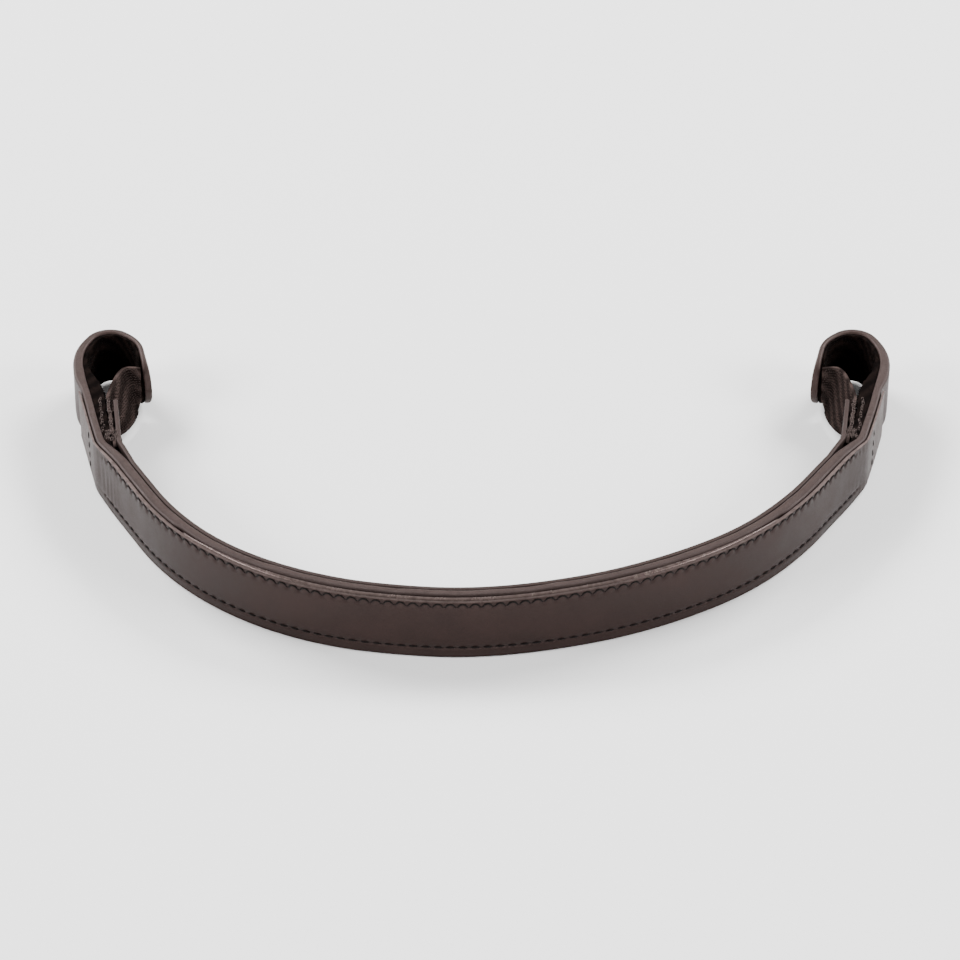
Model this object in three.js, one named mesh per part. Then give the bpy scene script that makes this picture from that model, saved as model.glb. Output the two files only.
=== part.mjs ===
// Bridle browband with hook-and-loop end loops, standing on its lower edge.
// Millimetres. +X runs along the width of the U, +Y from the forehead side
// towards the loops, +Z up. The origin is under the middle of the whole band, at
// the height of the base strap's lower edge.
//
// The band is a stack of plies that follow one plan line, the outer face of the
// facing. A place in the stack is (along, inward): how far along the line it is
// from the middle of the brow, and how far inside the line. The line is given for
// the right half, and a negative "along" is its mirror image on the left.
import * as THREE from "three";

// ---- driving dimensions ----
const STRAP_HEIGHT = 20; // about 3/4 inch
const LOOP_HEIGHT = 17;
const GAP = 0.3; // clearance between plies

// The plan line, as stretches of [length, turn in degrees].
const PLAN_LINE = [
  [33, 10], // brow
  [89, 51.5], // shoulder
  [29, 0], // arm
  [5, 15], // bend where the loop begins
  [29, 0], // outer wall of the loop
  [11.5, 6],
  [17.5, 37.5], // cheek of the loop
  [13.4, 95], // round end
  [11.6, 42.5], // the flap, curved and then straight
  [12.6, 0],
];

// Where things begin and end along the line.
const FILLER_END = 98;
const STITCH_END = 147;
const TONGUE_START = 138;
const TAPER_START = 138;
const TAPER_END = 160;
const PILE_START = 150;
const PILE_FULL = 166; // where the bunched pile tape is thickest
const PILE_THINS = 172;
const PILE_EVEN = 196;
const THROAT_STITCH_AT = 158;
const END_STITCH_AT = 163;
const TONGUE_STITCH_AT = 172;
const TONGUE_END = 177;
const FACING_END = 183;
const BASE_AT_LINE = 192; // from here the base strap is the outermost ply
const HINGE_AT = 222.5; // apex of the round end
const FLAP_END = 250.6;
const FLAP_PILE_END = 248.8;
const NUB_LENGTH = 8; // over which the flap's tip thickens and flares

// The stack, from the outer face inwards.
const FACING_THICK = 1.2;
const FACING_END_THICK = 0.7;
const FILLER_THICK = 1.6; // in the middle; it is pared down to nearly nothing
const FILLER_END_THICK = 0.4;
const FILLER_FULL = 45; // as far as the filler keeps its thickness
const BASE_INNER = 6.2; // inner face of the base strap in the middle
const BASE_INNER_AT_ARM = 5.1;
const BASE_INNER_AT_LOOP = 3.5;
const BASE_INNER_AT_HINGE = 2.1;
const LINING_THICK = 1.5;
const TONGUE_THICK = 1.4;
const TONGUE_SPREAD = 4.5; // how far the tongue stands away at its tip
const FLAP_THICK = 1.6;
const NUB_THICK = 2.1;
const NUB_FLARE = 0.5;
const LOOP_PILE_THICK = 1.3;
const PILE_START_THICK = 0.9;
const PILE_BUNCHED_THICK = 2.4;
const FLAP_PILE_THICK = 0.8;
const HOOK_THICK = 0.9;

const FACING_INSET = 0.1; // how far the facing's edges stay inside the strap's
const FILLER_INSET = 0.2;
const LINING_INSET = 0.3;
const PILE_INSET = 0.4;
const EDGE_BEVEL = 0.4;
const FLAP_BEVEL = 0.25;
const BLUNT = 0.3; // how far the rounded ends stop short of a point
const GROOVE_WIDTH = 1.3;
const GROOVE_DEPTH = 0.6;
const THREAD_WIDTH = 0.6;
const THREAD_DEPTH = 0.3;
const UPPER_ROW = 18.4; // height of the upper row of stitches
const LOWER_ROW = 3.6;
const STITCH_PITCH = 3.6;
const THREAD_BUMP = 0.15;
const ROW_DRAW = 0.16; // share by which the rows draw together in the narrow ends
const GROOVE_DEPTH_AT_END = 0.15;
const UPRIGHT_THREAD = 0.4; // thickness of the upright rows at the ends
const UPRIGHT_INSET = 1.2;

const LEATHER = { color: 0x463a37, roughness: 0.55, metalness: 0 };
const TAPE = { color: 0x2c2322, roughness: 0.95, metalness: 0 };
const THREAD = { color: 0x1d1716, roughness: 0.8, metalness: 0 };

// ---- the plan line ----

// The point of the plan line at a distance along its right half, with its heading.
function walk(along) {
  let x = 0;
  let y = 0;
  let heading = 0;
  let left = along;
  for (const [length, degrees] of PLAN_LINE) {
    const step = Math.min(left, length);
    const turn = (THREE.MathUtils.degToRad(degrees) * step) / length;
    const chord = turn === 0 ? step : (2 * Math.sin(turn / 2) * step) / turn;
    x += chord * Math.cos(heading + turn / 2);
    y += chord * Math.sin(heading + turn / 2);
    heading += turn;
    left -= step;
    if (left <= 0) break;
  }
  return { x, y, heading };
}

// The plan position of (along, inward), on the left half where along is negative.
function place(along, inward) {
  const at = walk(Math.abs(along));
  const x = at.x - inward * Math.sin(at.heading);
  const y = at.y + inward * Math.cos(at.heading);
  return [along < 0 ? -x : x, y];
}

// A value that goes smoothly from a to b as "along" goes from start to end.
function ease(along, start, end, a, b) {
  return THREE.MathUtils.lerp(a, b, THREE.MathUtils.smoothstep(Math.abs(along), start, end));
}

// The bend isn't quite even: the right shoulder lies further back than the left one.
const SHOULDER_SHIFT = 7;
const SHIFT_X = [-15, 70]; // over which the shift comes in, from the middle outwards
const SHIFT_Y = [35, 105]; // over which it goes away again, along the arm

function unevenBend([x, y, z]) {
  const outwards = THREE.MathUtils.smoothstep(x, ...SHIFT_X);
  const nearBrow = 1 - THREE.MathUtils.smoothstep(y, ...SHIFT_Y);
  return [x, y + SHOULDER_SHIFT * outwards * nearBrow, z];
}

// ---- the faces of the plies, as distances inside the line ----

function facingThick(along) {
  return ease(along, TAPER_START, TAPER_END, FACING_THICK, FACING_END_THICK);
}

function fillerThick(along) {
  return ease(along, FILLER_FULL, FILLER_END, FILLER_THICK, FILLER_END_THICK);
}

function baseOuter(along) {
  const overFiller = ease(along, FILLER_END + 1, FILLER_END + 6, fillerThick(along) + GAP, 0);
  return ease(along, FACING_END, BASE_AT_LINE, facingThick(along) + GAP + overFiller, 0);
}

function baseInner(along) {
  const band = ease(along, FILLER_FULL, FILLER_END, BASE_INNER, BASE_INNER_AT_ARM);
  const loop = ease(along, TAPER_START, TAPER_END, band, BASE_INNER_AT_LOOP);
  return ease(along, FACING_END, HINGE_AT, loop, BASE_INNER_AT_HINGE);
}

// The outer face of the lining, whose tongue leaves the band on a straight line.
function liningOuter(along) {
  const share = (Math.abs(along) - TONGUE_START) / (TONGUE_END - TONGUE_START);
  if (share > 0) return BASE_INNER_AT_ARM + GAP + TONGUE_SPREAD * share;
  return baseInner(along) + GAP;
}

function liningInner(along) {
  return liningOuter(along) + ease(along, FILLER_END, TONGUE_START, LINING_THICK, TONGUE_THICK);
}

function flapOuter(along) {
  return ease(along, FLAP_END - NUB_LENGTH, FLAP_END, 0, -NUB_FLARE);
}

function flapThick(along) {
  return ease(along, FLAP_END - NUB_LENGTH, FLAP_END, FLAP_THICK, NUB_THICK);
}

// Lower and upper edge of a ply that stays "inset" inside the strap's own edges.
function edges(along, inset) {
  const narrow = ease(along, TAPER_START, TAPER_END, 0, (STRAP_HEIGHT - LOOP_HEIGHT) / 2);
  return [narrow + inset, STRAP_HEIGHT - narrow - inset];
}

// Half the height left at a distance from a rounded end.
function roundedEnd(toEnd, half) {
  const inside = Math.min(1, Math.max(0, toEnd / half));
  return half * Math.sqrt(1 - (1 - inside) ** 2);
}

// ---- solids ----

// Stations along the line: far apart along the band, closer round the loops.
function stations(from, to) {
  const list = [from];
  const step = (along) => (Math.abs(along) < PILE_START + 4 ? 5 : 2);
  for (let along = from + step(from); along < to - 1; along += step(along)) list.push(along);
  list.push(to);
  return list;
}

// A closed mesh through rings of points, all with the same number of corners.
function loft(rings, outline) {
  const corners = rings[0].length;
  const positions = rings.flat().flatMap(unevenBend);
  const index = [];
  for (let i = 0; i + 1 < rings.length; i++) {
    for (let j = 0; j < corners; j++) {
      const a = i * corners + j;
      const b = i * corners + ((j + 1) % corners);
      index.push(a, b, b + corners, a, b + corners, a + corners);
    }
  }
  const last = (rings.length - 1) * corners;
  for (const [a, b, c] of THREE.ShapeUtils.triangulateShape(outline, [])) {
    index.push(c, b, a);
    index.push(last + a, last + b, last + c);
  }
  const geometry = new THREE.BufferGeometry();
  geometry.setAttribute("position", new THREE.Float32BufferAttribute(positions, 3));
  geometry.setIndex(index);
  return facingOut(geometry);
}

// The same mesh with its faces pointing out.
function facingOut(geometry) {
  const p = geometry.attributes.position;
  const index = geometry.index.array;
  const corner = [new THREE.Vector3(), new THREE.Vector3(), new THREE.Vector3()];
  let volume = 0;
  for (let i = 0; i < index.length; i += 3) {
    corner.forEach((v, k) => v.fromBufferAttribute(p, index[i + k]));
    volume += corner[0].dot(corner[1].clone().cross(corner[2]));
  }
  if (volume < 0) {
    for (let i = 0; i < index.length; i += 3) {
      [index[i], index[i + 1]] = [index[i + 1], index[i]];
    }
  }
  return geometry;
}

// A ply: the section gives its corners as [inward, z] at each station.
function ply(from, to, section, at = stations(from, to)) {
  const rings = at.map((along) =>
    section(along).map(([inward, z]) => [...place(along, inward), z]),
  );
  const outline = section(at[0]).map(([inward, z]) => new THREE.Vector2(inward, z));
  if (THREE.ShapeUtils.isClockWise(outline)) {
    outline.reverse();
    rings.forEach((ring) => ring.reverse());
  }
  return loft(rings, outline);
}

// A rectangle with its corners cut off.
function bevelled(outer, inner, low, high, bevel = EDGE_BEVEL) {
  return [
    [outer, low + bevel],
    [outer + bevel, low],
    [inner - bevel, low],
    [inner, low + bevel],
    [inner, high - bevel],
    [inner - bevel, high],
    [outer + bevel, high],
    [outer, high - bevel],
  ];
}

function plain(outer, inner, low, high) {
  return [
    [outer, low],
    [inner, low],
    [inner, high],
    [outer, high],
  ];
}

// The height of a stitch row, which follows the narrowing of the strap's ends.
function rowHeight(along, row) {
  return row + (STRAP_HEIGHT / 2 - row) * ease(along, TAPER_START, TAPER_END, 0, ROW_DRAW);
}

function facingSection(along) {
  const [low, high] = edges(along, FACING_INSET);
  const inner = facingThick(along);
  const depth = ease(along, STITCH_END - 2, STITCH_END + 6, GROOVE_DEPTH, GROOVE_DEPTH_AT_END);
  const bevel = Math.min(EDGE_BEVEL, inner / 3);
  const groove = (row) => {
    const z = rowHeight(along, row);
    const half = GROOVE_WIDTH / 2;
    return [
      [0, z + half],
      [depth, z + half],
      [depth, z - half],
      [0, z - half],
    ];
  };
  return [
    [bevel, low],
    [inner, low],
    [inner, high],
    [bevel, high],
    [0, high - bevel],
    ...groove(UPPER_ROW),
    ...groove(LOWER_ROW),
    [0, low + bevel],
  ];
}

function baseSection(along) {
  return bevelled(baseOuter(along), baseInner(along), ...edges(along, 0));
}

function liningSection(along) {
  return bevelled(liningOuter(along), liningInner(along), ...edges(along, LINING_INSET));
}

function fillerSection(along) {
  const outer = facingThick(along) + GAP;
  return plain(outer, outer + fillerThick(along), ...edges(along, FILLER_INSET));
}

// A row of stitches: one thread in the facing's groove, standing proud at each stitch.
function stitchRow(row) {
  const at = [];
  const count = Math.round((2 * STITCH_END) / STITCH_PITCH);
  for (let i = 0; i <= 2 * count; i++) at.push(-STITCH_END + (i * STITCH_END) / count);
  const section = (along) => {
    const turn = ((along + STITCH_END) / STITCH_END) * count * Math.PI;
    const proud = THREAD_BUMP * Math.cos(turn);
    const z = rowHeight(along, row);
    return plain(-proud, THREAD_DEPTH, z - THREAD_WIDTH / 2, z + THREAD_WIDTH / 2);
  };
  return ply(0, 0, section, at);
}

// A short upright row of stitches on the face of a ply, as one thread.
function uprightRow(along, inward, low, high) {
  const section = () => plain(inward, inward + UPRIGHT_THREAD, low, high);
  return ply(0, 0, section, [along - THREAD_WIDTH / 2, along + THREAD_WIDTH / 2]);
}

function flapSection(along) {
  const middle = STRAP_HEIGHT / 2;
  const half = roundedEnd(FLAP_END + BLUNT - Math.abs(along), LOOP_HEIGHT / 2);
  const outer = flapOuter(along);
  return bevelled(outer, outer + flapThick(along), middle - half, middle + half, FLAP_BEVEL);
}

function loopPileSection(along) {
  const [low, high] = edges(along, PILE_INSET);
  const face = baseInner(along) + GAP;
  const bunched = ease(along, PILE_START, PILE_FULL, PILE_START_THICK, PILE_BUNCHED_THICK);
  const thick = ease(along, PILE_THINS, PILE_EVEN, bunched, LOOP_PILE_THICK);
  return plain(face, face + thick, low, high);
}

function flapPileSection(along) {
  const middle = STRAP_HEIGHT / 2;
  const toEnd = FLAP_PILE_END - Math.abs(along);
  const half = roundedEnd(toEnd + BLUNT, LOOP_HEIGHT / 2 - PILE_INSET);
  const face = flapOuter(along) + flapThick(along) + GAP;
  return plain(face, face + FLAP_PILE_THICK, middle - half, middle + half);
}

// The hook tab: sewn between tongue and base strap at its root, it goes on past the
// tongue, leans with its upper edge outwards, and turns across the loop until its end
// meets the flap's pile. Each row is a point [x, y] of the upper edge and of the lower.
const TAB_EDGES = [
  [[111.4, 82.5], [111.4, 82.5]],
  [[112.3, 88], [112.3, 88]],
  [[113.6, 96], [113.5, 96]],
  [[114.8, 103], [114.5, 103]],
  [[115.3, 107.5], [113.5, 107.2]],
  [[114.6, 112.5], [110.9, 110.6]],
  [[113.5, 117.5], [108.9, 115]],
  [[112.2, 121.2], [108.2, 118.6]],
  [[110.2, 123], [107.8, 121]],
  [[106.8, 122.8], [106.8, 122.4]],
];
const TAB_HALF_HEIGHT = 7.9;
const TAB_STEPS = 30;

function hookTab(side) {
  const edge = (column) =>
    new THREE.CatmullRomCurve3(TAB_EDGES.map((row) => new THREE.Vector3(...row[column], 0)));
  const upper = edge(0);
  const lower = edge(1);
  const rings = [];
  for (let i = 0; i <= TAB_STEPS; i++) {
    const share = i / TAB_STEPS;
    const ahead = upper.getTangent(share).add(lower.getTangent(share)).normalize();
    const across = new THREE.Vector3(-ahead.y, ahead.x, 0).multiplyScalar(HOOK_THICK / 2);
    const corner = (curve, sign, level) => {
      const point = curve.getPoint(share).addScaledVector(across, sign);
      return [side * point.x, point.y, STRAP_HEIGHT / 2 + level * TAB_HALF_HEIGHT];
    };
    rings.push([
      corner(lower, -1, -1),
      corner(lower, 1, -1),
      corner(upper, 1, 1),
      corner(upper, -1, 1),
    ]);
  }
  const square = [[0, 0], [1, 0], [1, 1], [0, 1]].map(([x, y]) => new THREE.Vector2(x, y));
  return loft(rings, square);
}

// ---- the assembly ----

const browband = new THREE.Group();

function add(name, geometry, look) {
  const mesh = new THREE.Mesh(geometry, new THREE.MeshStandardMaterial(look));
  mesh.name = name;
  geometry.computeVertexNormals();
  browband.add(mesh);
}

add("facing_strap", ply(-FACING_END, FACING_END, facingSection), LEATHER);
add("base_strap", ply(-HINGE_AT, HINGE_AT, baseSection), LEATHER);
add("raised_filler", ply(-FILLER_END, FILLER_END, fillerSection), LEATHER);
add("lining_strap", ply(-TONGUE_END, TONGUE_END, liningSection), LEATHER);
add("upper_stitching", stitchRow(UPPER_ROW), THREAD);
add("lower_stitching", stitchRow(LOWER_ROW), THREAD);

for (const [name, side] of [["left", -1], ["right", 1]]) {
  // The stretch between two distances along this side's half of the line.
  const half = (from, to, section) =>
    side < 0 ? ply(-to, -from, section) : ply(from, to, section);
  const [low, high] = edges(END_STITCH_AT, UPRIGHT_INSET);
  add(`${name}_flap`, half(HINGE_AT + GAP, FLAP_END, flapSection), LEATHER);
  add(`${name}_loop_lining`, half(PILE_START, HINGE_AT, loopPileSection), TAPE);
  add(`${name}_flap_lining`, half(HINGE_AT + GAP, FLAP_PILE_END, flapPileSection), TAPE);
  add(`${name}_hook_tab`, hookTab(side), TAPE);
  add(`${name}_facing_stitching`, uprightRow(side * END_STITCH_AT, -GAP - UPRIGHT_THREAD, low, high), THREAD);
  add(
    `${name}_tongue_stitching`,
    uprightRow(side * TONGUE_STITCH_AT, liningInner(TONGUE_STITCH_AT) + GAP, low, high),
    THREAD,
  );
  add(
    `${name}_throat_stitching`,
    uprightRow(side * THROAT_STITCH_AT, liningInner(THROAT_STITCH_AT) + GAP, low, high),
    THREAD,
  );
}

// The origin is under the middle of the whole band.
const box = new THREE.Box3().setFromObject(browband);
browband.position.y = -(box.min.y + box.max.y) / 2;

export default browband;
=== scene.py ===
import math

import bpy
import numpy as np
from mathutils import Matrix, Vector


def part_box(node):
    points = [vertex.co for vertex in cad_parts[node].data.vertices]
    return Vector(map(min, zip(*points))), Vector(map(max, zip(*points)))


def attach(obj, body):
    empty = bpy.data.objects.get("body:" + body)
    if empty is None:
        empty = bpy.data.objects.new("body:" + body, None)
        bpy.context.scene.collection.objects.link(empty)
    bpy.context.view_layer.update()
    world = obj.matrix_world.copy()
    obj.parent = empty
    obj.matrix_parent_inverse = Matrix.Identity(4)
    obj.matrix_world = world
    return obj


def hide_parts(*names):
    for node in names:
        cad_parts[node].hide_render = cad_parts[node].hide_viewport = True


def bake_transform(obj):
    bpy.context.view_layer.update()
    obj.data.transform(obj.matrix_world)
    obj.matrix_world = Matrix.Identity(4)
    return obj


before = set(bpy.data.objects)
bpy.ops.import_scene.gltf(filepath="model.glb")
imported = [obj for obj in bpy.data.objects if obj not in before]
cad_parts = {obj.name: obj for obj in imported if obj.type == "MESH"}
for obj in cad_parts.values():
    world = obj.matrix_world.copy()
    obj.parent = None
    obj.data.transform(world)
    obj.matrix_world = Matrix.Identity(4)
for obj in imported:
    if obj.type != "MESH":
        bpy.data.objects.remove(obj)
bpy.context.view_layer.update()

# Bridle browband with hook-and-loop end loops. Plan sizes below are millimetres, as in
# the CAD source, and become metres where a mesh is made. A place in the stack of plies is
# (along, inward): along the plan line from the middle of the brow, and inside the line.

MM = 0.001
APEX_Y = 0.143679  # how far the loops' apex lies from the plan line's start, in metres
LINE_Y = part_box("base_strap")[1][1] - APEX_Y
STRAP_HEIGHT = 1000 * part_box("base_strap")[1][2]
LOOP_HEIGHT = 17.0
GAP = 0.3
SIDES = (("left", -1), ("right", 1))

# The plan line, as stretches of (length, turn in degrees).
PLAN_LINE = (
    (33, 10),
    (89, 51.5),
    (29, 0),
    (5, 15),
    (29, 0),
    (11.5, 6),
    (17.5, 37.5),
    (13.4, 95),
    (11.6, 42.5),
    (12.6, 0),
)

# The bend isn't quite even: the right shoulder lies further back than the left one.
SHOULDER_SHIFT = 7
SHIFT_X = (-15, 70)  # over which the shift comes in, from the middle outwards
SHIFT_Y = (35, 105)  # over which it goes away again, along the arm

# Places along the line.
FILLER_FULL, FILLER_END = 45, 98
TONGUE_START = 138
TAPER_START, TAPER_END = 138, 160
STITCH_END = 147
PILE_START = 148
PILE_FULL = 166  # where the bunched pile tape has filled the throat
TUFT_END = 183  # where it begins to thin out again
PILE_EVEN = 199
THROAT_STITCH_AT = 158
END_STITCH_AT = 163
TONGUE_STITCH_AT = 172
TONGUE_END = 177
LOOP_SEAM = 178  # where the band's leather is handed over to the loop's own piece
FACING_END = 183
BASE_AT_LINE = 192  # from here the base strap is the outermost ply
HINGE_AT = 222.5
FLAP_PILE_END = 248.8
FLAP_END = 250.6

# The stack, from the outer face inwards.
FACING_THICK, FACING_END_THICK = 1.2, 0.7
FILLER_THICK, FILLER_END_THICK = 1.6, 0.4
BASE_INNER, BASE_INNER_AT_ARM = 6.2, 5.1
BASE_INNER_AT_LOOP, BASE_INNER_AT_HINGE = 3.5, 2.1
FLAP_THICK = 1.6
NUB_LENGTH, NUB_FLARE = 8, 0.5
LINING_THICK, TONGUE_THICK = 1.5, 1.4
TONGUE_SPREAD = 4.5  # how far the tongue stands away at its tip
PILE_THICK, PILE_START_THICK, FLAP_PILE_THICK = 1.4, 0.9, 0.9
PILE_BUNCHED_THICK = 3.1
TUFT_THICK = 0.9  # what the tuft beside the tongue's tip adds to that

UPPER_ROW, LOWER_ROW = 18.6, 3.4
ROW_DRAW = 0.16  # share by which the rows draw together in the narrow ends
STITCH_PITCH = 3.6

# The hook tab's upper and lower edge in plan.
TAB_UPPER = ((111, 80.5), (112.2, 87), (113.6, 96), (114.8, 103), (115.3, 107.5), (114.6, 112.5),
             (113.5, 117.5), (112.2, 121.2), (110.2, 123), (106.2, 122.6))
TAB_LOWER = ((111, 80.5), (112.2, 87), (113.5, 96), (114.5, 103), (113.5, 107.2), (110.9, 110.6),
             (108.9, 115), (108.2, 118.6), (107.7, 121), (106.2, 122.3))
TAB_HALF_HEIGHT = 7.9
TAB_THICK = 0.9


# ---- the plan line and the plies ----

def walk(along):
    """x, y and heading of the plan line's right half at these distances."""
    x = np.zeros_like(along)
    y = np.zeros_like(along)
    heading = 0.0
    start = 0.0
    turned = np.zeros_like(along)
    for length, degrees in PLAN_LINE:
        step = np.clip(along - start, 0, length)
        turn = math.radians(degrees) * step / length
        chord = step * np.sinc(turn / (2 * math.pi))
        x = x + chord * np.cos(heading + turn / 2)
        y = y + chord * np.sin(heading + turn / 2)
        turned = turned + turn
        heading += math.radians(degrees)
        start += length
    return x, y, turned


def place(along, inward):
    """Plan position in millimetres, mirrored to the left half where along is negative."""
    along = np.asarray(along, float)
    x, y, heading = walk(np.abs(along))
    across = x - inward * np.sin(heading)
    return np.where(along < 0, -across, across), y + inward * np.cos(heading)


def smooth_share(value, start, end):
    """0 up to start, 1 from end on, and smooth between them."""
    share = np.clip((value - start) / (end - start), 0, 1)
    return share * share * (3 - 2 * share)


def ease(along, start, end, a, b):
    """Goes smoothly from a to b as "along" goes from start to end, on either side."""
    return a + (b - a) * smooth_share(np.abs(along), start, end)


def facing_inner(along):
    return ease(along, TAPER_START, TAPER_END, FACING_THICK, FACING_END_THICK)


def filler_inner(along):
    thick = ease(along, FILLER_FULL, FILLER_END, FILLER_THICK, FILLER_END_THICK)
    return facing_inner(along) + GAP + thick


def base_outer(along):
    over = ease(along, FILLER_END + 1, FILLER_END + 6, filler_inner(along) - facing_inner(along), 0)
    return ease(along, FACING_END, BASE_AT_LINE, facing_inner(along) + GAP + over, 0)


def base_inner(along):
    band = ease(along, FILLER_FULL, FILLER_END, BASE_INNER, BASE_INNER_AT_ARM)
    loop = ease(along, TAPER_START, TAPER_END, band, BASE_INNER_AT_LOOP)
    round_end = ease(along, FACING_END, HINGE_AT, loop, BASE_INNER_AT_HINGE)
    return ease(along, HINGE_AT, HINGE_AT + 12, round_end, FLAP_THICK)


def flare(along):
    return ease(along, FLAP_END - NUB_LENGTH, FLAP_END, 0, NUB_FLARE)


def loop_outer(along):
    return base_outer(along) - flare(along)


def lining_outer(along):
    """The tongues leave the band on a straight line."""
    share = np.clip((np.abs(along) - TONGUE_START) / (TONGUE_END - TONGUE_START), 0, 1)
    tongue = BASE_INNER_AT_ARM + GAP + TONGUE_SPREAD * share
    return np.where(np.abs(along) > TONGUE_START, tongue, base_inner(along) + GAP)


def lining_inner(along):
    thick = ease(along, FILLER_END, TONGUE_START, LINING_THICK, TONGUE_THICK)
    return lining_outer(along) + thick


def edges(along, inset):
    """Lower and upper edge of a ply that stays "inset" inside the strap's own edges."""
    narrow = ease(along, TAPER_START, TAPER_END, 0, (STRAP_HEIGHT - LOOP_HEIGHT) / 2)
    return narrow + inset, STRAP_HEIGHT - narrow - inset


def rounded_end(to_end, half):
    """Half the height left at a distance from a rounded end."""
    inside = np.clip(to_end / half, 0, 1)
    return half * np.sqrt(1 - (1 - inside) ** 2)


def row_height(along, row):
    return row + (STRAP_HEIGHT / 2 - row) * ease(along, TAPER_START, TAPER_END, 0, ROW_DRAW)


def uneven_bend(points):
    """Plan points with the right shoulder further back, as in the CAD."""
    outwards = smooth_share(points[:, 0], *SHIFT_X)
    near_brow = 1 - smooth_share(points[:, 1], *SHIFT_Y)
    shifted = points.copy()
    shifted[:, 1] += SHOULDER_SHIFT * outwards * near_brow
    return shifted


# ---- smooth pseudo-random values, the same in every run ----

def ripple(seed, *coordinates):
    """A smooth value around 0, about -1 to 1, from a few sines of the coordinates."""
    dice = np.random.default_rng(seed)
    waves = 6
    total = 0
    for _ in range(waves):
        phase = dice.uniform(0, 2 * math.pi)
        for value in coordinates:
            phase = phase + value * dice.uniform(-1, 1)
        total = total + np.sin(phase)
    return total / 3


# ---- meshes ----

def make_object(name, points, faces, material, smooth_angle=40):
    """A mesh object from points in plan millimetres."""
    co = uneven_bend(np.asarray(points, float)) * MM
    co[:, 1] += LINE_Y
    mesh = bpy.data.meshes.new(name)
    mesh.from_pydata(co.tolist(), [], faces)
    mesh.validate()
    mesh.shade_smooth()
    mesh.set_sharp_from_angle(angle=math.radians(smooth_angle))
    piece = bpy.data.objects.new(name, mesh)
    bpy.context.collection.objects.link(piece)
    mesh.materials.append(material)
    return piece


def paint(piece, name, values):
    """Gives a piece a value at each point, which its material reads by that name."""
    layer = piece.data.attributes.new(name, "FLOAT", "POINT")
    layer.data.foreach_set("value", np.asarray(values, np.float32).ravel())


def loft_faces(rings, corners):
    """Quads through the rings, with a cap at each end."""
    faces = []
    for i in range(rings - 1):
        a = i * corners
        for j in range(corners):
            k = (j + 1) % corners
            faces.append((a + j, a + corners + j, a + corners + k, a + k))
    faces.append(tuple(range(corners)))
    last = (rings - 1) * corners
    faces.append(tuple(range(last + corners - 1, last - 1, -1)))
    return faces


def section(outer, inner, low, high, rounding, outer_levels, inner_levels, edge_steps=8):
    """A rounded rectangle at every station: (kinds, inward, z), one column per corner."""
    outer, inner, low, high, rounding = np.broadcast_arrays(outer, inner, low, high, rounding)
    turn = np.radians(np.linspace(0, 90, 6))[1:-1]
    kinds, inward, height = [], [], []

    def column(kind, a, z):
        kinds.append(kind)
        inward.append(a)
        height.append(z)

    tall = high - low - 2 * rounding
    wide = inner - outer - 2 * rounding
    for t in outer_levels[::-1]:
        column("outer", outer, low + rounding + t * tall)
    for a in turn:
        column("bottom", outer + rounding * (1 - math.cos(a)), low + rounding * (1 - math.sin(a)))
    for t in np.linspace(0, 1, edge_steps):
        column("bottom", outer + rounding + t * wide, low)
    for a in turn:
        column("bottom", inner - rounding * (1 - math.sin(a)), low + rounding * (1 - math.cos(a)))
    for t in inner_levels:
        column("inner", inner, low + rounding + t * tall)
    for a in turn:
        column("top", inner - rounding * (1 - math.cos(a)), high - rounding * (1 - math.sin(a)))
    for t in np.linspace(1, 0, edge_steps):
        column("top", outer + rounding + t * wide, high)
    for a in turn:
        column("top", outer + rounding * (1 - math.sin(a)), high - rounding * (1 - math.cos(a)))
    return np.array(kinds), np.stack(inward, 1), np.stack(height, 1)


def ply(name, along, inward, height, material):
    """The closed mesh of a ply, from its section at each station."""
    x, y = place(along[:, None], inward)
    points = np.stack([x, y, height], 2).reshape(-1, 3)
    rings, corners = inward.shape
    faces = loft_faces(rings, corners)
    if facing_in(points, rings, corners):
        faces = [face[::-1] for face in faces]
    return make_object(name, points, faces, material)


def facing_in(points, rings, corners):
    """Whether the loft's quads, as first made, face into it."""
    grid = points.reshape(rings, corners, 3)
    middle = rings // 2
    ring = grid[middle]
    centre = ring.mean(0)
    j = int(np.argmax(np.linalg.norm(ring - centre, axis=1)))
    k = (j + 1) % corners
    side = grid[middle + 1][j] - ring[j]
    normal = np.cross(side, ring[k] - ring[j])
    return np.dot(normal, ring[j] - centre) < 0


def tube(path, radius, sides=6):
    """Points and faces of a closed tube along a short path."""
    path = np.asarray(path, float)
    radius = np.broadcast_to(radius, len(path))
    ahead = np.gradient(path, axis=0)
    ahead /= np.linalg.norm(ahead, axis=1)[:, None] + 1e-12
    helper = np.array([0.3, 0.5, 0.81])
    side = np.cross(ahead, helper)
    side /= np.linalg.norm(side, axis=1)[:, None] + 1e-12
    up = np.cross(side, ahead)
    angle = np.linspace(0, 2 * math.pi, sides, endpoint=False)
    circle = np.cos(angle)[None, :, None] * side[:, None] + np.sin(angle)[None, :, None] * up[:, None]
    points = path[:, None] + radius[:, None, None] * circle
    return points.reshape(-1, 3), loft_faces(len(path), sides)


def many_tubes(name, paths, radius, material, sides=6):
    """One mesh of many separate short tubes."""
    points, faces = [], []
    first = 0
    for path, thick in zip(paths, np.broadcast_to(radius, len(paths))):
        own, own_faces = tube(path, end_taper(len(path)) * thick, sides)
        points.append(own)
        faces += [tuple(i + first for i in face) for face in own_faces]
        first += len(own)
    return make_object(name, np.concatenate(points), faces, material, 60)


def end_taper(count):
    """A tube's radius is smaller at its two ends."""
    taper = np.ones(count)
    taper[[0, -1]] = 0.55
    return taper


# ---- materials ----

# Colour of painted shade, in the needle holes and in the gap between facing and strap.
PAINTED_SHADE_COLOUR = (0.006, 0.004, 0.004)
WARM_SHEEN = (1.0, 0.74, 0.70, 1)

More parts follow.
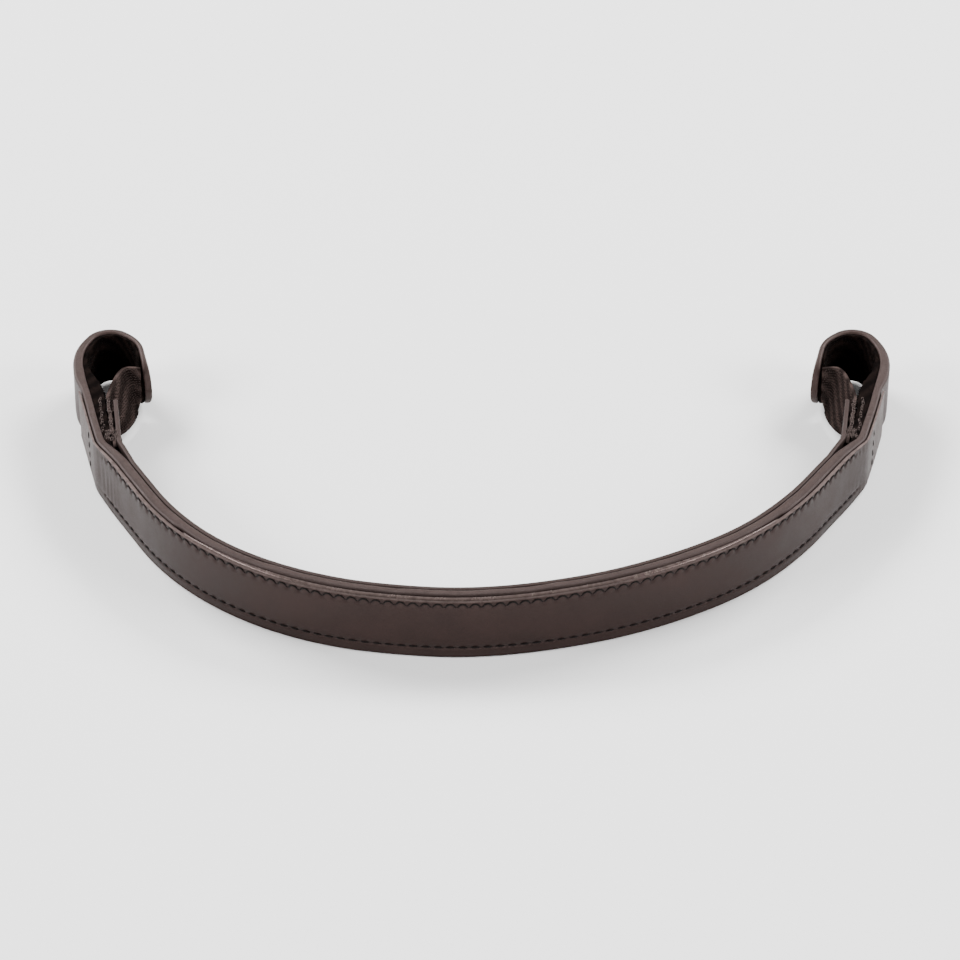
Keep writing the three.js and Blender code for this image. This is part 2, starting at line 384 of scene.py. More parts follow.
def node_material(name):
    """A new material: itself, its nodes and links, its shader and object coordinates."""
    material = bpy.data.materials.new(name)
    material.use_nodes = True
    nodes = material.node_tree.nodes
    shader = nodes["Principled BSDF"]
    place_node = nodes.new("ShaderNodeTexCoord")
    return material, nodes, material.node_tree.links, shader, place_node.outputs["Object"]


def noise(nodes, links, coordinates, scale, detail=3.0, rough=0.5):
    node = nodes.new("ShaderNodeTexNoise")
    node.inputs["Scale"].default_value = scale
    node.inputs["Detail"].default_value = detail
    node.inputs["Roughness"].default_value = rough
    links.new(coordinates, node.inputs["Vector"])
    return node.outputs["Fac"]


def cells(nodes, links, coordinates, scale):
    node = nodes.new("ShaderNodeTexVoronoi")
    node.feature = "DISTANCE_TO_EDGE"
    node.inputs["Scale"].default_value = scale
    links.new(coordinates, node.inputs["Vector"])
    return node.outputs["Distance"]


def math_node(nodes, links, operation, a, b):
    node = nodes.new("ShaderNodeMath")
    node.operation = operation
    for socket, value in zip(node.inputs, (a, b)):
        if isinstance(value, (int, float)):
            socket.default_value = value
        else:
            links.new(value, socket)
    return node.outputs[0]


def spread(nodes, links, value, low, high, to_low, to_high):
    node = nodes.new("ShaderNodeMapRange")
    node.inputs["From Min"].default_value = low
    node.inputs["From Max"].default_value = high
    node.inputs["To Min"].default_value = to_low
    node.inputs["To Max"].default_value = to_high
    links.new(value, node.inputs["Value"])
    return node.outputs["Result"]


def mix_colour(nodes, links, share, a, b):
    node = nodes.new("ShaderNodeMix")
    node.data_type = "RGBA"
    links.new(share, node.inputs["Factor"])
    for socket, value in ((node.inputs[6], a), (node.inputs[7], b)):
        if isinstance(value, tuple):
            socket.default_value = (*value, 1)
        else:
            links.new(value, socket)
    return node.outputs[2]


def attribute(nodes, name):
    node = nodes.new("ShaderNodeAttribute")
    node.attribute_name = name
    return node.outputs["Fac"]


def bump(nodes, links, shader, height, distance):
    node = nodes.new("ShaderNodeBump")
    node.inputs["Distance"].default_value = distance
    node.inputs["Strength"].default_value = 1.0
    links.new(height, node.inputs["Height"])
    links.new(node.outputs["Normal"], shader.inputs["Normal"])


def leather(name, dark, light, edge, roughness, grain_mm, grain_depth_mm, gloss=0.3):
    """Dyed leather: mottled colour, grain with pores, pale edges part wear and part painted highlight,
    painted shade.
    """
    material, nodes, links, shader, where = node_material(name)
    mottle = noise(nodes, links, where, 90, 4.0)
    fine = noise(nodes, links, where, 1500, 3.0)
    grain = cells(nodes, links, where, 1000 / grain_mm)
    blend = math_node(nodes, links, "ADD", mottle, math_node(nodes, links, "MULTIPLY", fine, 0.35))
    colour = mix_colour(nodes, links, spread(nodes, links, blend, 0.45, 0.95, 0, 1), dark, light)
    # The pale colour is part wear and part painted highlight; the dark one below is painted shade.
    wear_and_painted_light = math_node(nodes, links, "MULTIPLY", attribute(nodes, "edge"),
                        spread(nodes, links, noise(nodes, links, where, 700, 4.0), 0.3, 0.6, 0.45, 1))
    colour = mix_colour(nodes, links, wear_and_painted_light, colour, edge)
    colour = mix_colour(nodes, links, attribute(nodes, "painted_shade"), colour, PAINTED_SHADE_COLOUR)
    links.new(colour, shader.inputs["Base Color"])
    rough = spread(nodes, links, blend, 0.45, 0.95, roughness - 0.06, roughness + 0.08)
    rough = math_node(nodes, links, "ADD", rough, math_node(nodes, links, "MULTIPLY", wear_and_painted_light, 0.1))
    links.new(rough, shader.inputs["Roughness"])
    shader.inputs["Specular IOR Level"].default_value = gloss
    shader.inputs["Specular Tint"].default_value = WARM_SHEEN
    creases = spread(nodes, links, grain, 0.0, 0.25, 0, 1)
    height = math_node(nodes, links, "ADD", creases, math_node(nodes, links, "MULTIPLY", fine, 0.8))
    bump(nodes, links, shader, height, grain_depth_mm * MM)
    return material


def cloth(name, dark, light, rib_mm, depth_mm, gloss):
    """Woven tape: fine diagonal ribs broken by fuzz."""
    material, nodes, links, shader, where = node_material(name)
    wave = nodes.new("ShaderNodeTexWave")
    wave.inputs["Scale"].default_value = 0.32 * 1000 / (2 * math.pi * rib_mm)
    wave.inputs["Distortion"].default_value = 1.5
    wave.inputs["Detail"].default_value = 2.0
    wave.inputs["Detail Scale"].default_value = 2.0
    turned = nodes.new("ShaderNodeMapping")
    turned.inputs["Rotation"].default_value = (1.0, 0.0, 1.0)
    links.new(where, turned.inputs["Vector"])
    links.new(turned.outputs["Vector"], wave.inputs["Vector"])
    fuzz = noise(nodes, links, where, 1800, 4.0, 0.7)
    blend = math_node(nodes, links, "MULTIPLY", wave.outputs["Fac"], fuzz)
    links.new(mix_colour(nodes, links, spread(nodes, links, blend, 0.1, 0.55, 0, 1), dark, light),
              shader.inputs["Base Color"])
    links.new(spread(nodes, links, fuzz, 0.3, 0.7, 0.85, 1.0), shader.inputs["Roughness"])
    shader.inputs["Specular IOR Level"].default_value = gloss
    shader.inputs["Specular Tint"].default_value = WARM_SHEEN
    bump(nodes, links, shader, blend, depth_mm * MM)
    return material


def twisted_thread(name, dark, light):
    """Bonded sewing thread, with the slant of its plies."""
    material, nodes, links, shader, where = node_material(name)
    wave = nodes.new("ShaderNodeTexWave")
    wave.inputs["Scale"].default_value = 900
    wave.inputs["Distortion"].default_value = 0.6
    turned = nodes.new("ShaderNodeMapping")
    turned.inputs["Rotation"].default_value = (0.4, 0.6, 0.3)
    links.new(where, turned.inputs["Vector"])
    links.new(turned.outputs["Vector"], wave.inputs["Vector"])
    fuzz = noise(nodes, links, where, 2500, 3.0)
    links.new(mix_colour(nodes, links, math_node(nodes, links, "MULTIPLY", wave.outputs["Fac"], fuzz),
                         dark, light), shader.inputs["Base Color"])
    links.new(spread(nodes, links, fuzz, 0.3, 0.7, 0.6, 0.85), shader.inputs["Roughness"])
    shader.inputs["Specular IOR Level"].default_value = 0.12
    bump(nodes, links, shader, wave.outputs["Fac"], 0.00006)
    return material


FACING_LEATHER = leather(
    "facing_leather", dark=(0.0062, 0.0029, 0.0024), light=(0.0135, 0.0070, 0.0059),
    edge=(0.10, 0.074, 0.068), roughness=0.44, grain_mm=0.45, grain_depth_mm=0.02, gloss=0.24)
STRAP_LEATHER = leather(
    "strap_leather", dark=(0.0102, 0.0055, 0.0046), light=(0.021, 0.0125, 0.0108),
    edge=(0.046, 0.031, 0.0278), roughness=0.5, grain_mm=0.5, grain_depth_mm=0.03)
FILLER_LEATHER = leather(
    "filler_leather", dark=(0.0095, 0.0058, 0.0049), light=(0.018, 0.0118, 0.0102),
    edge=(0.075, 0.056, 0.051), roughness=0.17, grain_mm=0.6, grain_depth_mm=0.01, gloss=0.8)
LINING_LEATHER = leather(
    "lining_leather", dark=(0.0066, 0.0035, 0.0030), light=(0.013, 0.0075, 0.0065),
    edge=(0.025, 0.0162, 0.0145), roughness=0.6, grain_mm=0.5, grain_depth_mm=0.025)
PILE_CLOTH = cloth("pile_cloth", dark=(0.0010, 0.0005, 0.0004), light=(0.0058, 0.0034, 0.0028),
                   rib_mm=0.5, depth_mm=0.12, gloss=0.04)
HOOK_CLOTH = cloth("hook_cloth", dark=(0.008, 0.0047, 0.0041), light=(0.048, 0.0325, 0.029),
                   rib_mm=0.55, depth_mm=0.1, gloss=0.12)
FIBRE = twisted_thread("pile_fibre", (0.0016, 0.0008, 0.0007), (0.0085, 0.0051, 0.0044))
HOOK_THREAD = twisted_thread("hook_thread", (0.016, 0.0102, 0.009), (0.085, 0.062, 0.056))
LOOP_THREAD = twisted_thread("loop_thread", (0.03, 0.0205, 0.0184), (0.21, 0.16, 0.148))
SEWING_THREAD = twisted_thread("sewing_thread", (0.0016, 0.0008, 0.0006), (0.006, 0.0034, 0.0029))


# ---- where the stitches are ----

def stitch_starts():
    count = int(STITCH_END / STITCH_PITCH)
    return np.arange(-count, count) * STITCH_PITCH


# Of each row: its height, the share of the pitch where a stitch starts and ends, how far
# below the row both its holes are, and how far it arches up between them.
ROWS = {
    "upper": (UPPER_ROW, 0.08, 0.92, 0.7, 1.45),
    "lower": (LOWER_ROW, 0.2, 0.8, 0.1, 0.25),
}


def hole_shade(along, height):
    """1 at the needle holes, fading out to 0 around them; used as a dent depth and as painted shade."""
    shade = np.zeros(np.broadcast(along, height).shape)
    for row, start, end, drop, _ in ROWS.values():
        inside = np.abs(along) < STITCH_END
        level = height - row_height(along, row) + drop
        for share in (start, end):
            off = along / STITCH_PITCH - share
            off = (off - np.round(off)) * STITCH_PITCH
            near = (off / 0.45) ** 2 + (level / 0.36) ** 2
            shade = np.maximum(shade, np.exp(-near) * inside)
    return shade


def pushed_up(along, height):
    """Small swellings of the leather under each arch of the upper row."""
    off = along / STITCH_PITCH - 0.5
    off = (off - np.round(off)) * STITCH_PITCH
    near = (off / 0.7) ** 2 + ((height - row_height(along, UPPER_ROW) + 0.35) / 0.4) ** 2
    return np.exp(-near) * (np.abs(along) < STITCH_END)


# ---- the leather plies ----

def finely_spaced(start, end, step):
    count = max(2, int(round((end - start) / step)) + 1)
    return np.linspace(start, end, count)


def levels_with_rows(step=0.7, fine=0.22, reach=1.1):
    """Shares of the facing's height, closer together around the two stitch rows."""
    tall = STRAP_HEIGHT - 1.8
    levels = list(np.arange(0, tall + step, step))
    for row in (UPPER_ROW - 0.8, LOWER_ROW - 0.8):
        levels += list(np.arange(row - reach, min(row + reach, tall), fine))
    shares = np.unique(np.round(np.clip(np.array(levels) / tall, 0, 1), 3))
    apart = np.concatenate([[True], np.diff(shares) > 0.008])
    return shares[apart]


def compression_wrinkles(along, height):
    """Fine upright wrinkles where the band bends into its loops."""
    near = np.exp(-((np.abs(along) - STITCH_END) / 9.0) ** 2)
    fold = np.sin(along * 2.0 + 2.2 * ripple(3, along * 0.45, height * 0.16))
    fade = 0.4 + 0.6 * ripple(4, along * 0.35, height * 0.35)
    return 0.05 * near * fold * fade


def facing_relief(along, height, holes):
    """How far the facing's face lies inside the plan line: grooves, waves, holes, swellings."""
    groove = np.zeros_like(height)
    for row in (UPPER_ROW, LOWER_ROW):
        groove += 0.14 * np.exp(-(((height - row_height(along, row)) / 0.7) ** 2))
    groove = groove * ease(along, STITCH_END - 3, STITCH_END + 6, 1, 0.25)
    crown = 0.12 * np.abs((height - STRAP_HEIGHT / 2) / 9.5) ** 4
    waves = 0.05 * ripple(1, along * 0.12, height * 0.25) + compression_wrinkles(along, height)
    return crown + groove + waves + 0.42 * holes - 0.16 * pushed_up(along, height)


def paint_facing(piece, along, height, high, face, holes):
    """Painted shade in needle holes; top edge pale from burnish and painted highlight; painted
    highlights on arches and ends.
    """
    shade = np.zeros_like(height)
    # painted shade in the needle holes
    shade[:, face] = 0.95 * holes ** 0.6
    paint(piece, "painted_shade", shade)
    # The top edge is paler: part burnished edge, part painted highlight growing towards the ends.
    top_edge = np.clip((height - (high[:, None] - 0.35)) / 0.35, 0, 1)
    edge_wear_and_highlight = ease(along, 60, 150, 0.3, 1.0) * top_edge
    # painted highlight on the swellings under the upper row's arches
    swelling_highlight = 0.08 * pushed_up(along, height[:, face])
    # painted highlight on the face towards its ends, where the side lights glance off it
    end_highlight = ease(along, 148, 176, 0, 0.3)
    edge_wear_and_highlight[:, face] = np.maximum(np.maximum(edge_wear_and_highlight[:, face], swelling_highlight), end_highlight)
    paint(piece, "edge", edge_wear_and_highlight)


def make_facing():
    along = finely_spaced(-FACING_END, FACING_END, 0.45)
    low, high = edges(along, 0.0)
    high = high - 0.2
    thick = facing_inner(along)
    rounding = np.minimum(0.25, thick * 0.45)
    kinds, inward, height = section(0 * along, thick, low, high, rounding,
                                    levels_with_rows(), np.linspace(0, 1, 6), 4)
    face = kinds == "outer"
    s = along[:, None]
    holes = hole_shade(s, height[:, face])
    inward[:, face] += facing_relief(s, height[:, face], holes)
    piece = ply("facing_leather", along, inward, height, FACING_LEATHER)
    paint_facing(piece, s, height, high, face, holes)
    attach(piece, "band")
    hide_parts("facing_strap")


def make_filler():
    """The raised core under the facing; its burnished edge shows as a glossy ridge, with a painted
    highlight along the top.
    """
    along = finely_spaced(-FILLER_END, FILLER_END, 0.8)
    outer = facing_inner(along) + 0.15
    inner = filler_inner(along) + 0.1
    low, high = edges(along, 0.1)
    high = high - ease(along, 84, FILLER_END, 0, 0.5)
    rounding = 0.46 * (inner - outer)
    kinds, inward, height = section(outer, inner, low, high, rounding,
                                    np.linspace(0, 1, 5), np.linspace(0, 1, 5), 4)
    piece = ply("filler_leather", along, inward, height, FILLER_LEATHER)
    paint(piece, "painted_shade", np.zeros_like(inward))
    # Pale top: part burnished leather, part painted highlight on the ridge.
    paint(piece, "edge", 0.8 * (height > high[:, None] - 0.8))
    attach(piece, "band")
    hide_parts("raised_filler")


def edge_paint(piece, height, low, high, amount):
    """Pale edges along the top and, fainter, along the bottom: part the raw edges' own colour, part
    painted top light.
    """
    reach = 0.9
    top = np.clip((height - (high[:, None] - reach)) / reach, 0, 1)
    bottom = 0.6 * np.clip((low[:, None] + reach - height) / reach, 0, 1)
    paint(piece, "edge", amount * np.maximum(top, bottom))


def crease_dents(along):
    """Two small creases across the strap's upper edge near each loop."""
    first, second, width, depth = 168.5, 171.3, 0.35, 0.22
    return depth * (np.exp(-((np.abs(along) - first) / width) ** 2)
                    + np.exp(-((np.abs(along) - second) / width) ** 2))


def strap_leather(name, along, outer, inner, half=None):
    """A stretch of the thick strap leather; half is its half height where its end is rounded."""
    low, high = edges(along, 0)
    if half is not None:
        low = STRAP_HEIGHT / 2 - half
        high = STRAP_HEIGHT / 2 + half
    rounding = np.minimum(0.42 * (inner - outer), 0.75)
    rounding = np.minimum(rounding, 0.9 * (high - low) / 2)
    kinds, inward, height = section(outer, inner, low, high, rounding,
                                    np.linspace(0, 1, 14), np.linspace(0, 1, 14), 8)
    s = along[:, None]
    inward += 0.06 * ripple(7, s * 0.35, height * 0.3)
    height += np.where(kinds == "top", 0.08 * ripple(8, s * 0.6, inward * 0.5) - crease_dents(s), 0)
    piece = ply(name, along, inward, height, STRAP_LEATHER)
    across = (inward - outer[:, None]) / (inner - outer)[:, None]
    # Painted shade on the top's outer part, in the dark gap beside the facing, fainter round the loops.
    gap_shade = np.where(kinds == "top", np.clip(1 - across / 0.65, 0, 1), 0)
    paint(piece, "painted_shade", 0.75 * gap_shade * ease(s, 150, 200, 1, 0.4))
    edge_paint(piece, height, low, high, 0.55)
    return piece


def make_base():
    along = finely_spaced(-LOOP_SEAM, LOOP_SEAM, 0.8)
    piece = strap_leather("base_leather", along, base_outer(along) - 0.05, base_inner(along) + 0.05)
    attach(piece, "band")
    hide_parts("base_strap")


def bend_across_hinge(piece):
    """Bakes the piece's transform into its mesh; it bends nothing."""
    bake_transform(piece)


def make_loop_leather(name, side):
    along = finely_spaced(LOOP_SEAM, FLAP_END, 0.55)
    half = np.minimum(LOOP_HEIGHT / 2, rounded_end(FLAP_END + 0.03 - along, LOOP_HEIGHT / 2))
    piece = strap_leather(f"{name}_loop_leather", side * along,
                          loop_outer(along) - 0.05, base_inner(along) + 0.05, half)
    bend_across_hinge(piece)
    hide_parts(f"{name}_flap")


def make_lining():
    along = finely_spaced(-TONGUE_END, TONGUE_END, 0.7)
    outer = lining_outer(along)
    inner = lining_inner(along)
    low, high = edges(along, 0.3)
    squeeze = 0.8 * np.clip((np.abs(along) - (TONGUE_END - 1.6)) / 1.6, 0, 1) ** 2
    low, high = low + squeeze, high - squeeze
    kinds, inward, height = section(outer, inner, low, high, 0.4,
                                    np.linspace(0, 1, 8), np.linspace(0, 1, 40), 6)
    back = kinds == "inner"
    s = along[:, None]
    z = height[:, back]
    pull = np.zeros_like(z)
    for row in (UPPER_ROW, LOWER_ROW):
        pull += 0.18 * np.exp(-(((z - row_height(s, row)) / 0.45) ** 2))
    pull = pull * (np.abs(s) < STITCH_END) + 0.3 * hole_shade(s, z)
    soft = 0.12 * (1 - ((z - STRAP_HEIGHT / 2) / 10) ** 2) + 0.07 * ripple(11, s * 0.2, z * 0.3)
    inward[:, back] += soft - pull
    piece = ply("lining_leather", along, inward, height, LINING_LEATHER)
    shade = np.zeros_like(inward)
    # painted shade in the needle holes on the lining's back
    shade[:, back] = 0.9 * hole_shade(s, z)
    paint(piece, "painted_shade", shade)
    edge_paint(piece, height, low, high, 0.9)
    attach(piece, "band")
    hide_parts("lining_strap")


# ---- stitching ----

def thread_path(along, height, face, over):
    """A stitch's path on a face of the stack: it dips into the leather at both ends."""
    bow = np.sin(np.linspace(0, math.pi, len(along)))
    x, y = place(along, face - over * (bow * 0.75 - 0.42))
    return np.stack([x, y, height], 1)


def make_row(name, node):
    row, start, end, drop, arch_height = ROWS[name]
    share = np.linspace(0, 1, 10)
    paths = []
    for begin in stitch_starts():
        front = begin + STITCH_PITCH * (start + (end - start) * share)
        height = row_height(front, row) - drop + arch_height * np.sin(math.pi * share) ** 0.8
        paths.append(thread_path(front, height, 0.2, 0.62))
        face = lining_inner(front) - 0.12
        paths.append(thread_path(front, row_height(front, row) + 0 * share, face, -0.6))
    piece = many_tubes(f"{name}_stitches", paths, 0.26, SEWING_THREAD)
    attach(piece, "band")
    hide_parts(node)


def upright_stitches(name, side, at, faces, node):
    """A short upright row of stitches, on one or more faces of the stack."""
    low, high = edges(np.array([float(at)]), 1.4)
    count = 4
    pitch = (high[0] - low[0]) / count
    share = np.linspace(0, 1, 8)
    paths = []
    for i in range(count):
        height = low[0] + pitch * (i + 0.12 + 0.76 * share)
        along = side * (at + 0.12 * math.sin(5 * i) + 0 * share)
        for face, over in faces:
            paths.append(thread_path(along, height, face, over))
    piece = many_tubes(name, paths, 0.27, SEWING_THREAD)
    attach(piece, "band")
    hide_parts(node)


def make_end_stitches(name, side):
    upright_stitches(f"{name}_facing_stitches", side, END_STITCH_AT, [(0.12, 0.3)],
                     f"{name}_facing_stitching")
    tongue = lining_inner(np.array([float(TONGUE_STITCH_AT)]))[0]
    upright_stitches(f"{name}_tongue_stitches", side, TONGUE_STITCH_AT,
                     [(tongue, -0.6), (tongue - TONGUE_THICK, 0.6)], f"{name}_tongue_stitching")
    throat = lining_inner(np.array([float(THROAT_STITCH_AT)]))[0]
    upright_stitches(f"{name}_throat_stitches", side, THROAT_STITCH_AT, [(throat, -0.6)],
                     f"{name}_throat_stitching")


# ---- hook-and-loop tapes ----

def pile_outer(along):
    return base_inner(along) + 0.1


def pile_inner(along):
    """The pile is bunched up at the throat, and thin on the loop's wall and flap."""
    bunched = ease(along, PILE_START, PILE_FULL, PILE_START_THICK, PILE_BUNCHED_THICK)
    filled = bunched + ease(along, PILE_FULL + 2, TUFT_END - 3, 0, TUFT_THICK)
    wall = ease(along, TUFT_END, PILE_EVEN, filled, PILE_THICK)
    return pile_outer(along) + ease(along, HINGE_AT - 8, HINGE_AT + 8, wall, FLAP_PILE_THICK)


def pile_half(along):
    """Half the height of the pile, which is rounded at the flap's tip."""
    return rounded_end(FLAP_PILE_END + 0.2 - along, LOOP_HEIGHT / 2 - 0.4)


def make_loop_pile(name, side):
    """The pile tape from the throat to the flap's tip; round the loop it reaches below the leather as a
    dark strip for shade.
    """
    start = PILE_START - 2
    along = finely_spaced(start, FLAP_PILE_END, 0.5)
    low, high = edges(along, 0.5)
    # The dark pile is let down below the leather round the loop, standing in for shade on the floor
    # inside it.
    shade_hem = ease(along, 190, 204, 0, 1.2)
    low = low - shade_hem
    half = pile_half(along) + shade_hem
    low = np.maximum(low, STRAP_HEIGHT / 2 - half)
    high = np.minimum(high, STRAP_HEIGHT / 2 + pile_half(along))
    kinds, inward, height = section(pile_outer(along), pile_inner(along), low, high, 0.3,
                                    np.linspace(0, 1, 6), np.linspace(0, 1, 30), 5)
    s = along[:, None]
    ragged = 0.12 * ripple(21, s * 3.0, inward * 3) + 0.12 * ripple(22, s * 7.0, inward * 5)
    height += np.where(kinds == "top", ragged, 0)
    face = kinds == "inner"
    z = height[:, face]
    inward[:, face] += 0.2 * ripple(23, s * 4.5, z * 4.0) + 0.12 * ripple(24, s * 9.0, z * 9.0)
    piece = ply(f"{name}_loop_pile", side * along, inward, height, PILE_CLOTH)
    bend_across_hinge(piece)
    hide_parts(f"{name}_loop_lining", f"{name}_flap_lining")
    fibres = make_pile_fibres(name, side)


def arch(base, tip, lean, steps=5):
    """A small bent fibre from a base point, through its tip, and back beside the base."""
    t = np.linspace(0, 1, steps)[:, None]
    return base + np.sin(t * math.pi) * (tip - base) + t * lean


def make_pile_fibres(name, side):
    """Fine bent fibres on the pile's face and, fewer, on its upper edge."""
    dice = np.random.default_rng(50 + side)
    fibre_count = 5200
    paths = []
    for _ in range(fibre_count):
        along = dice.uniform(PILE_START - 1, FLAP_PILE_END - 0.5)
        half = min(7.0, float(pile_half(np.array([along]))[0]) - 0.4)
        in_throat = 156 < along < 186
        on_top = dice.uniform() < 0.3
        level = 1.0 if on_top else dice.uniform(-1, 1)
        z = STRAP_HEIGHT / 2 + half * level
        root = np.array([along])
        thick = float((pile_inner(root) - pile_outer(root))[0])
        depth = dice.uniform(0.2, thick - 0.1) if on_top else thick - 0.25
        reach = dice.uniform(0.2, 0.6) + (0.5 if in_throat else 0)
        x0, y0 = place(side * root, pile_outer(root) + depth)
        x1, y1 = place(side * root, pile_outer(root) + depth + (0.2 if on_top else reach))
        base = np.array([x0[0], y0[0], z])
        tip = np.array([x1[0], y1[0], z + (reach if on_top else dice.uniform(-0.2, 0.3))])
        paths.append(arch(base, tip, dice.normal(0, 0.2, 3)))
    piece = many_tubes(f"{name}_pile_fibres", paths, dice.uniform(0.04, 0.07, len(paths)), FIBRE, 3)
    bend_across_hinge(piece)
    return piece


def smooth_curve(points, share):
    """A point of the smooth curve through these points, and its direction, at shares 0 to 1."""
    points = np.array(points, float)
    padded = np.concatenate([[2 * points[0] - points[1]], points, [2 * points[-1] - points[-2]]])
    where = np.clip(share, 0, 1) * (len(points) - 1)
    i = np.minimum(where.astype(int), len(points) - 2)
    t = (where - i)[..., None]
    a, b, c, d = (padded[i + k] for k in range(4))
    at = 0.5 * (2 * b + (c - a) * t + (2 * a - 5 * b + 4 * c - d) * t ** 2
                + (3 * b - a - 3 * c + d) * t ** 3)
    ahead = 0.5 * ((c - a) + 2 * (2 * a - 5 * b + 4 * c - d) * t + 3 * (3 * b - a - 3 * c + d) * t ** 2)
    return at, ahead


def on_tab(side, share, level, off=0.0):
    """A point of the tab: share along it, level -1 to 1 up its height, off its middle, inwards."""
    share, level, off = np.broadcast_arrays(np.asarray(share, float), level, off)
    upper, upper_ahead = smooth_curve(TAB_UPPER, share)
    lower, lower_ahead = smooth_curve(TAB_LOWER, share)
    ahead = upper_ahead + lower_ahead
    ahead = ahead / np.linalg.norm(ahead, axis=-1)[..., None]
    level = np.where(level < 0, level * (1 - 0.55 * np.clip((share - 0.84) / 0.16, 0, 1) ** 2), level)
    high = ((level + 1) / 2)[..., None]
    plan = lower + (upper - lower) * high
    x = plan[..., 0] - ahead[..., 1] * off
    y = plan[..., 1] + ahead[..., 0] * off
    return np.stack([side * x, y, STRAP_HEIGHT / 2 + level * TAB_HALF_HEIGHT], -1)


def make_hook_tape(name, side):
    """The hook tab: tape sewn in at the throat, which leans and turns across the loop."""
    share = np.linspace(0, 1, 90)[:, None]
    across = np.linspace(-1, 1, 40)
    half = TAB_THICK / 2
    weave = 0.04 * np.sin(share * 300 + across * 40)
    back_face = on_tab(side, share, across, -half + weave)
    hook_face = on_tab(side, share, across[::-1], half - weave[:, ::-1])
    rings = np.concatenate([back_face, hook_face], 1)
    points = rings.reshape(-1, 3)
    faces = loft_faces(rings.shape[0], rings.shape[1])
    if facing_in(points, rings.shape[0], rings.shape[1]):
        faces = [face[::-1] for face in faces]
    piece = make_object(f"{name}_hook_tape", points, faces, HOOK_CLOTH)
    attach(piece, "band")
    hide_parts(f"{name}_hook_tab")
    hooks = make_hooks(name, side)
    loops = make_selvedge_loops(name, side)


def make_hooks(name, side):
    """Slanting rows of small bent hooks on the face that the flap presses against."""
    dice = np.random.default_rng(70 + side)
    paths = []
    for share in np.arange(0.35, 1.05, 0.019):
        for level in np.linspace(-0.95, 0.95, 19) + dice.normal(0, 0.008):
            shift = share + 0.09 * level + dice.normal(0, 0.0025)
            if not 0.4 < shift < 0.985:
                continue
            foot = on_tab(side, shift, level, 0.38)
            head = on_tab(side, shift, level + 0.015, 0.8)
            bent = on_tab(side, shift + 0.009, level - 0.03, 0.62)
            paths.append(np.array([foot, (foot + head) / 2, head, bent]))
    piece = many_tubes(f"{name}_hooks", paths, 0.16, HOOK_THREAD, 5)
    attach(piece, "band")
    return piece


def make_selvedge_loops(name, side):
    """Columns of thread loops along the sewn edges, and the pulled tufts at the throat."""
    dice = np.random.default_rng(90 + side)
    turn = np.linspace(0.15, 2 * math.pi - 0.15, 9)
    paths = []

    def ring(x, y, z, size):
        tilt = dice.normal(0, 0.35)
        out = np.stack([np.cos(turn) * size * 0.75, np.sin(turn) * size, np.sin(turn + tilt) * 0.3], 1)
        paths.append(np.array([side * x, y, z]) + out)

    def near(value, reach):
        return dice.uniform(value - reach, value + reach)

    top = STRAP_HEIGHT - 1.7
    first, last, apart = 87.5, 104.5, 1.3
    for y in np.arange(first, last, apart):
        root = 112.5 + (y - first) * 0.14
        ring(root + dice.normal(0, 0.12), y, near(top, 0.2), dice.uniform(0.45, 0.62))
        ring(root + 1.5 + dice.normal(0, 0.15), y + 0.6, near(top - 1.1, 0.2), dice.uniform(0.42, 0.6))
        ring(root + 2.7 + dice.normal(0, 0.2), y + 1.1, near(top - 0.2, 0.2), dice.uniform(0.35, 0.5))
    tuft_loops = 30
    for _ in range(tuft_loops):
        ring(near(112.5, 1.9), near(86, 2.5), near(top - 0.1, 0.3), dice.uniform(0.3, 0.55))
    piece = many_tubes(f"{name}_thread_loops", paths, 0.13, LOOP_THREAD, 5)
    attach(piece, "band")
    return piece


# ---- camera, floor and light ----

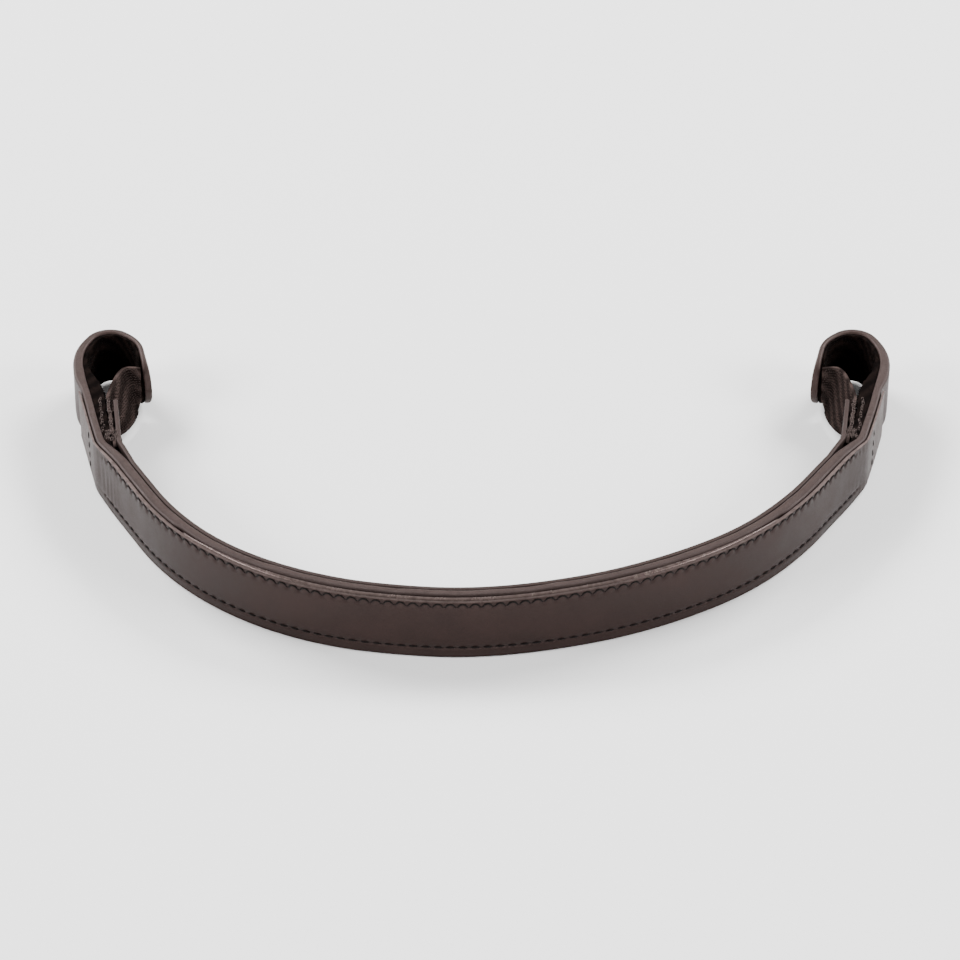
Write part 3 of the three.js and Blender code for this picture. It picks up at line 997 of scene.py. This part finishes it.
def make_camera():
    """A long lens, well above the band, on its forehead side."""
    elevation = math.radians(36)
    front_top = Vector((0, LINE_Y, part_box("base_strap")[1][2]))
    distance = 1.2
    lens_pixels = 4176.6
    frame_pixels = 960
    ahead = Vector((0, math.cos(elevation), -math.sin(elevation)))
    up = Vector((0, math.sin(elevation), math.cos(elevation)))
    below = 123.5 / lens_pixels * distance
    right = 1.5 / lens_pixels * distance
    camera = bpy.data.cameras.new("camera")
    camera.sensor_width = 36
    camera.lens = lens_pixels / frame_pixels * camera.sensor_width
    camera.clip_start = 0.05
    camera.clip_end = 20
    holder = bpy.data.objects.new("camera", camera)
    bpy.context.collection.objects.link(holder)
    holder.location = front_top - ahead * distance + up * below - Vector((right, 0, 0))
    holder.rotation_euler = (math.pi / 2 - elevation, 0, 0)
    bpy.context.scene.camera = holder


def make_floor():
    material, nodes, links, shader, where = node_material("floor")
    tone = noise(nodes, links, where, 3.0)
    links.new(mix_colour(nodes, links, tone, (0.95, 0.95, 0.95), (0.97, 0.97, 0.97)),
              shader.inputs["Base Color"])
    shader.inputs["Roughness"].default_value = 0.9
    bpy.ops.mesh.primitive_plane_add(size=12, location=(0, 0, -0.0003))
    floor = bpy.context.object
    floor.name = "floor"
    floor.data.materials.append(material)


def area_light(name, place_at, target, size, power):
    light = bpy.data.lights.new(name, "AREA")
    light.shape = "RECTANGLE"
    light.size, light.size_y = size
    light.energy = power
    holder = bpy.data.objects.new(name, light)
    bpy.context.collection.objects.link(holder)
    holder.location = place_at
    aim = Vector(target) - Vector(place_at)
    holder.rotation_euler = aim.to_track_quat("-Z", "Y").to_euler()


def make_light():
    """Large soft lights all round, low enough that the inside of the loops stays dark."""
    centre = (0, 0, 0)
    area_light("back_left_light", (-1.5, 1.5, 1.5), centre, (1.3, 0.9), 108)
    area_light("back_right_light", (1.5, 1.5, 1.5), centre, (1.3, 0.9), 100)
    area_light("left_light", (-2.0, -0.65, 1.2), centre, (1.1, 0.8), 62)
    area_light("right_light", (2.0, -0.65, 1.2), centre, (1.1, 0.8), 58)
    area_light("front_light", (0, -2.4, 0.6), centre, (1.6, 0.5), 30)
    world = bpy.data.worlds.new("studio")
    bpy.context.scene.world = world
    world.use_nodes = True
    background = world.node_tree.nodes["Background"]
    background.inputs["Color"].default_value = (1, 1, 1, 1)
    background.inputs["Strength"].default_value = 0.3


make_camera()
make_floor()
make_light()
make_facing()
make_filler()
make_base()
make_lining()
make_row("upper", "upper_stitching")
make_row("lower", "lower_stitching")
for side_name, side_sign in SIDES:
    make_loop_leather(side_name, side_sign)
    make_loop_pile(side_name, side_sign)
    make_hook_tape(side_name, side_sign)
    make_end_stitches(side_name, side_sign)
